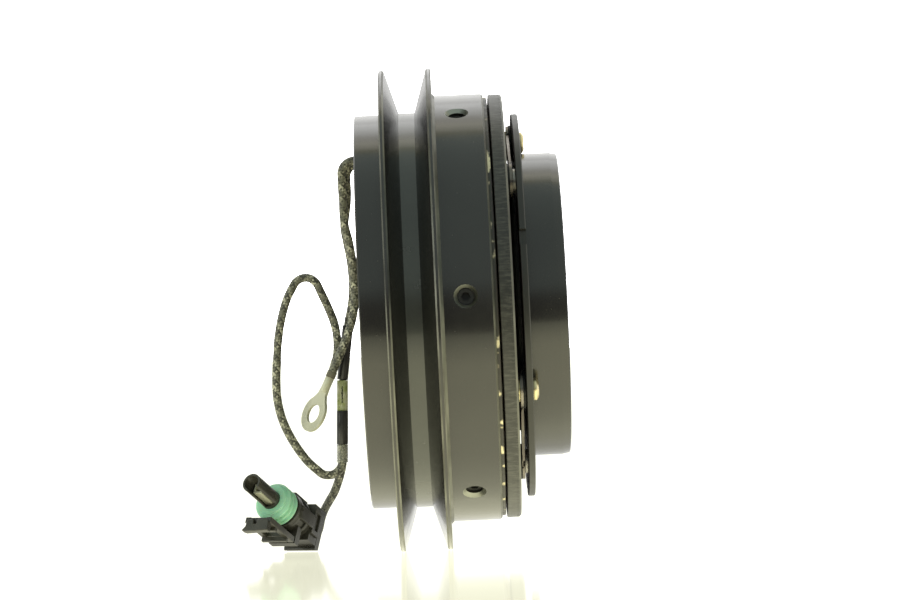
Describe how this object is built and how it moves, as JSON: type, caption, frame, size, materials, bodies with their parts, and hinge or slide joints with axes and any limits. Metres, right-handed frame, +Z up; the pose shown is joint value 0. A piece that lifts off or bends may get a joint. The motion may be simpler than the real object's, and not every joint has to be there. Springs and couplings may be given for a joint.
{
  "type": "electromagnetic clutch",
  "caption": "Electromagnetic clutch with a V-groove pulley, a coil, a sprung armature, a damped front hub, and braided leads with a ring terminal and a sealed connector.",
  "frame": {"origin": "centre of the circle of mounting holes, in the rear face of the coil's mounting plate", "axes": "+X along the axis of rotation, towards the front cup; +Z up, to the side where the coil leads leave; the leads and connector hang at -X"},
  "size_m": [0.1053, 0.1524, 0.1524],
  "materials": {
    "gloss_black_paint": "gloss",
    "bare_steel": "machined",
    "plated_steel": "zinc plated",
    "race_steel": "ground",
    "spring_steel": "satin",
    "black_steel": "satin",
    "brass": "satin",
    "tinned_copper": "matte tin",
    "copper_wire": "enamelled",
    "nylon": "matte",
    "epoxy": "matte",
    "damper_rubber": "matte",
    "braid": "woven glass fibre with dark tracer",
    "collar": "matte",
    "black_sleeve": "satin",
    "splice_sleeve": "translucent",
    "clear_sleeve": "clear",
    "diode_body": "matte",
    "connector_plastic": "satin",
    "green_seal": "satin"
  },
  "bodies": {
    "field": {"mounting_plate": "plated_steel", "coil_shell": "plated_steel", "coil_bobbin": "nylon", "coil_winding": "copper_wire", "coil_potting": "epoxy", "lead_grommet": "damper_rubber", "ground_lead": "braid", "power_lead": "braid", "diode_lead": "braid", "connector_lead": "braid", "ring_terminal": "tinned_copper", "terminal_collar": "collar", "splice_sleeve": "black_sleeve", "splice_crimp": "splice_sleeve", "diode_sleeve": "black_sleeve", "diode": "diode_body", "clear_sleeve": "clear_sleeve", "connector_housing": "connector_plastic", "connector_seal": "green_seal", "connector_contact": "tinned_copper", "wire_seal": "green_seal"},
    "latch": {"connector_latch": "connector_plastic"},
    "lock": {"connector_lock": "connector_plastic"},
    "hub": {"hub": "bare_steel", "inner_race": "race_steel", "hub_snap_ring": "spring_steel", "damper_rubber": "damper_rubber", "front_cup": "gloss_black_paint", "drive_plate": "gloss_black_paint", "plate_rivets": "brass", "plate_spacers": "black_steel", "leaf_springs": "spring_steel"},
    "rotor": {"pulley_ring": "gloss_black_paint", "rotor_body": "bare_steel", "rotor_screws": "black_steel", "outer_race": "race_steel", "bearing_seals": "damper_rubber", "rotor_snap_ring": "spring_steel"},
    "cage": {"ball_cage": "brass", "bearing_balls": "race_steel"},
    "armature": {"armature": "gloss_black_paint", "armature_rivets": "bare_steel", "armature_spacers": "black_steel"}
  },
  "joints": [
    {"name": "hub_spin", "type": "hinge", "parent": "field", "child": "hub", "pos_m": [0.03, 0, 0], "axis": [1, 0, 0], "continuous": true},
    {"name": "pulley_spin", "type": "hinge", "parent": "hub", "child": "rotor", "pos_m": [0.023, 0, 0], "axis": [1, 0, 0], "continuous": true},
    {"name": "cage_spin", "type": "hinge", "parent": "hub", "child": "cage", "pos_m": [0.023, 0, 0], "axis": [1, 0, 0], "continuous": true},
    {"name": "armature_slide", "type": "slide", "parent": "hub", "child": "armature", "axis": [-1, 0, 0], "range_m": [0, 0.0005], "stiffness_N_per_m": 40000, "deforming": ["leaf_springs"]},
    {"name": "latch_flex", "type": "hinge", "parent": "field", "child": "latch", "pos_m": [-0.03153, 0.01066, -0.07161], "axis": [0.8755, -0.4833, 0], "range_deg": [0, 6], "stiffness_Nm_per_rad": 0.02},
    {"name": "lock_fold", "type": "hinge", "parent": "field", "child": "lock", "pos_m": [-0.02632, 0.0201, -0.07537], "axis": [-0.8755, 0.4833, 0], "range_deg": [0, 60]}
  ],
  "couplings": [
    {"joint": "cage_spin", "follows": "pulley_spin", "ratio": 0.5569}
  ]
}
